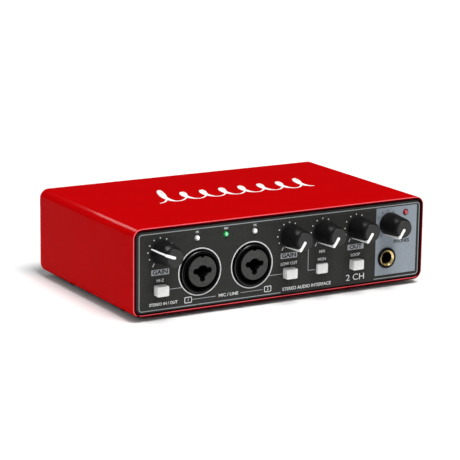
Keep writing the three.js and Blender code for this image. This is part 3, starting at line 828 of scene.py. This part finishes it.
def led(name, materials, slot):
    """A domed LED whose tip is lighter than the rest of its lens, a painted highlight."""
    low, high = span("led_" + name)
    at = LED_AT[name]
    dome = [(LED_RADIUS * math.sin(a), low.y + LED_RADIUS - LED_RADIUS * math.cos(a))
            for a in (math.radians(10 * i) for i in range(10))]
    back = FACE_Y + 3.3
    rim = 1.9
    profile = dome + [(LED_RADIUS, back - 1.0), (rim, back - 1.0), (rim, back), (0, back)]
    leads = [box_part(at.x + s - 0.25, at.x + s + 0.25, back - 0.2, high.y, at.z - 0.25, at.z + 0.25)
             for s in (-1.27, 1.27)]
    piece = mesh_object("led_lens_" + name, *merged(lathe(profile, at.x, at.z, 32), *leads), materials, 40)
    # The tip of the dome takes the painted highlight.
    use_second_material(piece, lambda polygon: polygon.center.y / MM < low.y + 0.3)
    settle(piece, CHASSIS, slot, "led_" + name)


# ---- Input sockets ----
def combo_housing(index):
    """The round barrel through the panel, its well, and the square body behind the panel."""
    node = f"combo_housing_{index + 1}"
    at = COMBO_AT[index]
    low, high = span(node)
    well = FACE_Y + 16
    barrel = softened([
        (COMBO_BORE, well, 0), (COMBO_BORE, low.y + 0.1, 0.3), (10.3, low.y, 0.25),
        (COMBO_SHOULDER, low.y + 0.3, 0), (COMBO_BARREL, low.y + 0.75, 0.4),
        (COMBO_BARREL, FACE_Y + 3.4, 0.1), (10.6, FACE_Y + 3.4, 0.1), (10.6, well + 0.4, 0.1),
        (3.55, well + 0.4, 0.1), (3.55, well, 0.1), (COMBO_BORE, well, 0),
    ])[:-1]
    parts = [lathe(barrel, at.x, at.z, 96, ring=True)]
    for degrees in (38, 142, 218, 322):
        rib = box_part(COMBO_BORE - 0.45, COMBO_BORE + 0.3, low.y + 1.6, well - 2, -0.5, 0.5)
        parts.append(turned(rib, degrees, at))
    piece = mesh_object(f"combo_barrel_{index + 1}", *merged(*parts), [JET_BLACK, SHOULDER_PAINTED_HIGHLIGHT], 35)
    # The shoulder ring takes the lighter, glossier plastic, a painted highlight.
    shoulder_end = low.y + 0.6
    use_second_material(piece, lambda polygon: COMBO_SHOULDER < distance(polygon, at) < 10.95
                        and polygon.center.y / MM < shoulder_end)
    settle(piece, CHASSIS, "black_plastic")
    holes = [rounded_box(at.x, at.z, 26, 27, 1.2, 6), disc(at.x, at.z, 10.8, 64)]
    depth = high.y - FACE_Y - 3.6
    plane = FRONT_FACE @ Matrix.Translation((0, 0, -(3.6 + depth) * MM))
    block = flat_object(f"combo_block_{index + 1}", [flat_mesh(holes, depth, 0.3)], plane, BLACK)
    settle(block, CHASSIS, "black_plastic", node)


def plug_hole(x, z):
    """One opening that joins the plug hole and the three pin holes, as seen from its middle."""
    plug, pin, circle = 3.25, 1.5, 3.9
    points = []
    for i in range(144):
        angle = 2 * math.pi * i / 144
        reach = plug
        for pin_deg in (5, 175, 270):
            turn = angle - math.radians(pin_deg)
            across = circle * math.sin(turn)
            if abs(across) < pin and math.cos(turn) > 0:
                reach = max(reach, circle * math.cos(turn) + math.sqrt(pin * pin - across * across))
        points.append((x + reach * math.cos(angle), z + reach * math.sin(angle)))
    return points


def insert_outline(x, z):
    """The insert's round edge, with the small keyway at its top."""
    notch = 7
    top = arc(x, z, COMBO_INSERT, 90 + notch, 450 - notch, 96)
    half = COMBO_INSERT * math.sin(math.radians(notch))
    return top + [(x + half, z + COMBO_INSERT - 0.75), (x - half, z + COMBO_INSERT - 0.75)]


def combo_insert(index):
    """The grey insert, with a near-black painted shade on its walls that run along Y, inside its holes and
    round its edges.
    """
    node = f"combo_insert_{index + 1}"
    at = middle(node)
    low, high = span(node)
    length = high.y - low.y
    plane = FRONT_FACE @ Matrix.Translation((0, 0, (FACE_Y - low.y - length) * MM))
    core = flat_mesh([insert_outline(at.x, at.z), plug_hole(at.x, at.z)], length, 0.3)
    flange = flat_mesh([disc(at.x, at.z, 8.6, 96), disc(at.x, at.z, 7.9, 96)], 2, 0.1)
    piece = flat_object(f"combo_core_{index + 1}", [core, flange], plane, INSERT_GREY)
    piece.data.materials.append(SHADOW_BLACK)
    # Painted shade: near-black on every wall that runs along Y.
    use_second_material(piece, lambda polygon: abs(polygon.normal.y) < 0.5)
    settle(piece, CHASSIS, "dark_grey_plastic", node)


def contact_springs(index):
    """Contact springs inside the plug hole, and a near-black disc as painted shade at the back of the well.
    """
    at = middle(f"combo_insert_{index + 1}")
    parts = []
    for degrees in (45, 135, 225, 315):
        spring = merged(box_part(2.9, 3.15, FACE_Y + 3, FACE_Y + 9, -0.5, 0.5),
                        box_part(2.65, 3.0, FACE_Y + 5, FACE_Y + 6, -0.5, 0.5))
        parts.append(turned(spring, degrees, at))
    piece = mesh_object(f"combo_contacts_{index + 1}", *merged(*parts), BLACK_METAL)
    settle(piece, CHASSIS, "dark_nut")
    barrel = COMBO_AT[index]
    # Painted shade: a near-black disc closing the well's back.
    wall = lathe([(0, FACE_Y + 17.5), (9.4, FACE_Y + 17.5), (9.4, FACE_Y + 18.5), (0, FACE_Y + 18.5)],
                 barrel.x, barrel.z, 48)
    settle(mesh_object(f"combo_back_{index + 1}", *wall, SHADOW_BLACK), CHASSIS, "black_plastic")


# ---- Headphone socket ----
def phones_socket():
    low, high = span("phones_bushing")
    bore, outer = JACK_BORE, 4.4
    thread = []
    y = low.y + 1.6
    while y < high.y - 0.4:
        thread += [(outer - 0.12, y, 0), (outer, y + 0.18, 0)]
        y += 0.36
    profile = softened([
        (bore, high.y, 0), (bore, low.y + 1.0, 0.2), (outer - 0.32, low.y + 0.05, 0.1),
        (outer - 0.2, low.y, 0.05), (outer, low.y + 0.3, 0.15), (outer, low.y + 1.4, 0), *thread,
        (outer, high.y, 0), (bore, high.y, 0),
    ])[:-1]
    piece = mesh_object("phones_gold", *lathe(profile, PHONES_AT.x, PHONES_AT.z, 72, ring=True),
                        [GOLD, SHADOW_BLACK], 35)
    # Painted shade: the bore's deeper faces are near-black.
    use_second_material(piece, lambda polygon: distance(polygon, PHONES_AT) < bore + 0.05
                        and polygon.center.y / MM > low.y + 1.6)
    settle(piece, CHASSIS, "gold", "phones_bushing")

    nut_low, nut_high = span("phones_nut")
    ring = softened([
        (4.65, nut_high.y, 0), (4.65, nut_low.y + 0.1, 0.1), (4.9, nut_low.y, 0.15),
        (5.6, nut_low.y + 0.1, 0.2), (5.65, nut_high.y + 0.28, 0.05), (4.65, nut_high.y + 0.28, 0),
    ])
    nut = mesh_object("phones_ring", *lathe(ring, PHONES_AT.x, PHONES_AT.z, 72, ring=True), BLACK_METAL, 35)
    settle(nut, CHASSIS, "dark_nut", "phones_nut")

    # Painted shade: a near-black well and back disc behind the bore.
    well = [(bore + 0.02, high.y - 0.2), (bore + 0.9, high.y - 0.2), (bore + 0.9, FACE_Y + 28),
            (bore + 0.02, FACE_Y + 28)]
    tip = [(0, FACE_Y + 27), (4, FACE_Y + 27), (4, FACE_Y + 28.2), (0, FACE_Y + 28.2)]
    parts = merged(lathe(well, PHONES_AT.x, PHONES_AT.z, 48, ring=True),
                   lathe(tip, PHONES_AT.x, PHONES_AT.z, 48))
    settle(mesh_object("phones_well", *parts, SHADOW_BLACK), CHASSIS, "black_plastic")
    spring = box_part(PHONES_AT.x + 1.9, PHONES_AT.x + 2.3, FACE_Y + 6, FACE_Y + 12,
                      PHONES_AT.z - 1.8, PHONES_AT.z - 0.6)
    settle(mesh_object("phones_contact", *spring, STEEL), CHASSIS, "steel")


# ---- Feet ----
def foot(name):
    at = middle(name)
    profile = softened([
        (0, -0.25, 0), (3.4, -0.25, 0.3), (3.8, 0, 0.2), (5.4, 0, 0.5), (6.0, -0.9, 0.4), (6.0, -2.0, 0.3),
        (5.7, -SLEEVE_LOW.z, 0), (0, -SLEEVE_LOW.z, 0),
    ])
    part = upright(lathe([(r, -y) for r, y in profile], 0, 0, 64), at.x, at.y)
    piece = mesh_object("rubber_" + name, *part, RUBBER, 35)
    settle(piece, CHASSIS, "rubber", name)


# ---- Rear ----
def rear_panel():
    screw_at = [middle(f"rear_screw_{i + 1}") for i in range(4)]
    screws = [disc(at.x, at.z, 1.7, 24) for at in screw_at]
    socket_at = [middle("output_jack_" + name) for name in OUTPUTS]
    sockets = [disc(at.x, at.z, 4.8) for at in socket_at]
    usb, phantom = middle("usb_port"), middle("phantom_switch_body")
    slots = [rounded_box(usb.x, usb.z, 9.4, 3.7, 1.8, 8),
             rounded_box(phantom.x, phantom.z, 8.2, 3.8, 0.4, 3)]
    thickness = REAR_HIGH.y - REAR_LOW.y
    outlines = [[(-x, z) for x, z in outline] for outline in [panel_outline()] + screws + sockets + slots]
    plane = REAR_FACE @ Matrix.Translation((0, 0, -thickness * MM))
    piece = flat_object("rear_plate", [flat_mesh(outlines, thickness, PLATE_BEVEL)], plane, GRAPHITE)
    settle(piece, CHASSIS, "graphite_panel", "rear_panel")


def rear_print():
    """Plain words and lines beside the rear connectors."""
    words = []
    for name, letters in (("left", "L"), ("right", "R")):
        at = middle("output_jack_" + name)
        words.append(text_mesh(letters, 3.0, -at.x, at.z + 10.5))
        words.append(flat_mesh([disc(-at.x, at.z, 8.6, 72), disc(-at.x, at.z, 8.2, 72)], INK))
    outputs = (middle("output_jack_left").x + middle("output_jack_right").x) / 2
    phantom = middle("phantom_switch_body")
    labels = [("LINE OUT", 3.0, -outputs, 34.0), ("USB", 2.8, -middle("usb_port").x, 17.5),
              ("48V", 2.8, -phantom.x, 20.0), ("ON", 2.0, -phantom.x - 7.5, phantom.z),
              ("OFF", 2.0, -phantom.x + 8.0, phantom.z)]
    words += [text_mesh(*label) for label in labels]
    settle(flat_object("rear_words", words, REAR_FACE, INK_WHITE), CHASSIS, "white_plastic")


def output_socket(name):
    at, (low, high) = middle("output_jack_" + name), span("output_jack_" + name)
    bore, outer, tip = JACK_BORE, 4.5, high.y
    profile = softened([
        (bore, low.y + 2, 0), (bore, tip - 0.5, 0.2), (bore + 0.5, tip, 0.1), (outer - 0.3, tip, 0.2),
        (outer, tip - 0.4, 0.2), (outer, REAR_LOW.y - 0.3, 0.1), (outer + 0.6, REAR_LOW.y - 0.3, 0),
        (outer + 0.6, low.y + 2, 0), (bore, low.y + 2, 0),
    ])[:-1]
    plug = [(0, low.y + 1.0), (5, low.y + 1.0), (5, low.y + 2.2), (0, low.y + 2.2)]
    parts = merged(lathe(profile, at.x, at.z, 72, ring=True), lathe(plug, at.x, at.z, 48))
    settle(mesh_object("output_barrel_" + name, *parts, BLACK, 35), CHASSIS, "black_plastic")
    block_holes = [rounded_box(-at.x, at.z, 14, 16, 0.6, 4), disc(-at.x, at.z, outer + 0.7, 48)]
    depth = REAR_LOW.y - 0.3 - low.y
    plane = REAR_FACE @ Matrix.Translation((0, 0, (low.y - REAR_Y) * MM))
    block = flat_object("output_block_" + name, [flat_mesh(block_holes, depth, 0.2)], plane, BLACK)
    settle(block, CHASSIS, "black_plastic", "output_jack_" + name)
    nut_thickness = span("output_nut_" + name)[1].y - REAR_Y
    nut_outlines = [rounded_polygon(-at.x, at.z, 6.4, 6, 0.5), disc(-at.x, at.z, 4.75)]
    nut_mesh = flat_mesh(nut_outlines, nut_thickness, 0.25)
    nut = flat_object("output_hex_" + name, [nut_mesh], REAR_FACE, STEEL)
    settle(nut, CHASSIS, "steel", "output_nut_" + name)


def rounded_polygon(x, z, radius, sides, rounding):
    """A regular polygon with its corners rounded."""
    corners = [Vector(p) for p in disc(x, z, radius, sides)]
    points = []
    for i, corner in enumerate(corners):
        before = (corners[i - 1] - corner).normalized() * rounding
        after = (corners[(i + 1) % sides] - corner).normalized() * rounding
        for t in (0, 0.33, 0.67, 1):
            points.append(tuple(corner + before * (1 - t) ** 2 + after * t ** 2))
    return points


def usb_socket():
    at, (low, high) = middle("usb_port"), span("usb_port")
    length = high.y - low.y
    plane = REAR_FACE @ Matrix.Translation((0, 0, (low.y - REAR_Y) * MM))
    outer = rounded_box(-at.x, at.z, 8.9, 3.2, 1.58, 10)
    inner = rounded_box(-at.x, at.z, 8.3, 2.6, 1.28, 10)
    shell = flat_mesh([outer, inner], length, 0.05)
    back = flat_mesh([rounded_box(-at.x, at.z, 8.5, 2.8, 1.3, 10)], 0.8, 0.05)
    piece = flat_object("usb_shell", [shell, back], plane, STEEL)
    settle(piece, CHASSIS, "steel", "usb_port")
    tongue = box_part(at.x - 3.3, at.x + 3.3, low.y + 0.6, REAR_Y - 1, at.z - 0.35, at.z + 0.35)
    settle(mesh_object("usb_tongue", *tongue, BLACK), CHASSIS, "black_plastic")


def rear_screw(number):
    name = f"rear_screw_{number}"
    at, (low, high) = middle(name), span(name)
    top = high.y
    profile = softened([
        (0, low.y, 0), (1.1, low.y, 0.2), (1.4, low.y + 0.5, 0.1), (1.4, REAR_Y, 0.05), (2.8, REAR_Y, 0.1),
        (2.8, top - 0.9, 0.6), (1.6, top, 0.5), (0, top, 0),
    ])
    screw = mesh_object(f"screw_{number}", *lathe(profile, at.x, at.z, 48), STEEL, 35)
    cross = merged(*(box_part(at.x - w, at.x + w, top - 0.9, top + 1, at.z - h, at.z + h)
                     for w, h in ((0.35, 1.55), (1.55, 0.35))))
    cut_away(screw, cross)
    settle(screw, CHASSIS, "steel", name)


def cut_away(piece, part):
    """Takes a closed shape out of a piece."""
    cutter = mesh_object("cutter", *part, SHADOW_BLACK)
    modifier = piece.modifiers.new("cut", "BOOLEAN")
    modifier.operation = "DIFFERENCE"
    modifier.object = cutter
    modifier.solver = "EXACT"
    modifier.use_self = True
    bpy.context.view_layer.update()
    result = bpy.data.meshes.new_from_object(piece.evaluated_get(bpy.context.evaluated_depsgraph_get()))
    piece.modifiers.clear()
    piece.data = result
    bpy.data.objects.remove(cutter)
    tidy_mesh(result, 35)


def phantom_lever():
    low, high = span("phantom_switch_lever")
    at = middle("phantom_switch_lever")
    parts = [box_part(low.x, high.x, low.y, REAR_LOW.y - 1.2, low.z, high.z),
             box_part(at.x - 1.7, at.x + 1.7, REAR_LOW.y - 1.5, high.y - 0.35, at.z - 1.5, at.z + 1.5)]
    for i in range(4):
        x = at.x - 1.7 + 0.15 + i * 0.85
        parts.append(box_part(x, x + 0.55, high.y - 0.6, high.y, at.z - 1.5, at.z + 1.5))
    piece = mesh_object("phantom_lever", *merged(*parts), WHITE)
    settle(piece, "phantom_switch", "black_plastic", "phantom_switch_lever")


# ---- CAD nodes that stay ----
def keep_inner_nodes():
    """Inner pieces keep their CAD shape and get a fitting surface."""
    chosen_materials = [("pot_shaft_", STEEL), ("pot_body_", INSERT_GREY), ("switch_body_", INSERT_GREY),
                ("phones_jack_body", BLACK), ("phantom_switch_body", STEEL), ("main_board", BOARD),
                ("control_board", BOARD), ("ribbon_cable", RIBBON), ("codec_chip", BLACK),
                ("usb_chip", BLACK), ("power_capacitor_", BLUE_SLEEVE)]
    for name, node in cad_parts.items():
        for start, material in chosen_materials:
            if name.startswith(start):
                for material_slot in node.material_slots:
                    material_slot.material = material


# ---- Studio ----
def area_light(name, place, target, size, power):
    light = bpy.data.lights.new(name, "AREA")
    light.shape = "RECTANGLE"
    light.size, light.size_y = (side * MM for side in size)
    light.energy = power
    lamp = bpy.data.objects.new(name, light)
    bpy.context.scene.collection.objects.link(lamp)
    lamp.location = Vector(place) * MM
    lamp.rotation_euler = (Vector(place) - Vector(target)).to_track_quat("Z", "Y").to_euler()
    return lamp


def sun(name, toward, power, spread_deg):
    """A broad, even light that comes from the given direction."""
    light = bpy.data.lights.new(name, "SUN")
    light.energy = power
    light.angle = math.radians(spread_deg)
    lamp = bpy.data.objects.new(name, light)
    bpy.context.scene.collection.objects.link(lamp)
    lamp.rotation_euler = Vector(toward).to_track_quat("Z", "Y").to_euler()


AMBIENT = {"surfaces": 0.3, "reflections": 0.08, "backdrop": 1.0}


def studio():
    scene = bpy.context.scene
    scene.view_settings.view_transform = "Standard"
    scene.view_settings.look = "None"
    world = bpy.data.worlds.new("studio")
    scene.world = world
    world.use_nodes = True
    nodes, links = world.node_tree.nodes, world.node_tree.links
    path = nodes.new("ShaderNodeLightPath")
    shade = nodes["Background"]
    shade.inputs["Color"].default_value = (1, 1, 1, 1)
    shade.inputs["Strength"].default_value = AMBIENT["surfaces"]
    for ray, strength in (("Is Glossy Ray", AMBIENT["reflections"]), ("Is Camera Ray", AMBIENT["backdrop"])):
        other = nodes.new("ShaderNodeBackground")
        other.inputs["Color"].default_value = (1, 1, 1, 1)
        other.inputs["Strength"].default_value = strength
        mix = nodes.new("ShaderNodeMixShader")
        links.new(path.outputs[ray], mix.inputs["Fac"])
        links.new(shade.outputs[0], mix.inputs[1])
        links.new(other.outputs["Background"], mix.inputs[2])
        shade = mix
    links.new(shade.outputs[0], nodes["World Output"].inputs["Surface"])

    floor_material = shader("floor", (0.96, 0.96, 0.96, 1), 0.9, Specular_IOR_Level=0.0)
    vary_colour(floor_material, noise(floor_material, 400, 2), (0.95, 0.95, 0.95, 1), (0.97, 0.97, 0.97, 1))
    reach = 20000
    corners = [(-reach, -reach, 0), (reach, -reach, 0), (reach, reach, 0), (-reach, reach, 0)]
    mesh_object("floor", corners, [(0, 1, 2, 3)], floor_material)

    sun("key", (0.05, -0.45, 1.0), 2.65, 24)
    sun("front_fill", (-0.1, -1.0, 0.7), 0.35, 40)
    sun("left_fill", (-1.0, -0.3, 0.5), 0.35, 60)
    rim = area_light("rim_strip", (-288, 2187, 1560), (-88, 0, 48), (880, 437), 38)
    rim.visible_diffuse = False


sleeve()
sleeve_rails()
wave_motif()
front_panel()
silver_field()
border_line()
panel_print()
field_print()
for knob_name in KNOBS:
    knob(knob_name)
for button_name in BUTTONS:
    button(button_name)
led("peak_1", CLEAR_LENS, "clear_lens")
led("phantom", GREEN_LENS, "green_lens")
led("peak_2", CLEAR_LENS, "clear_lens")
led("power", RED_LENS, "red_lens")
for socket_index in range(2):
    combo_housing(socket_index)
    combo_insert(socket_index)
    contact_springs(socket_index)
phones_socket()
for foot_name in ("foot_front_left", "foot_front_right", "foot_rear_left", "foot_rear_right"):
    foot(foot_name)
rear_panel()
rear_print()
for output_name in OUTPUTS:
    output_socket(output_name)
usb_socket()
for screw_number in range(1, 5):
    rear_screw(screw_number)
phantom_lever()
keep_inner_nodes()
studio()
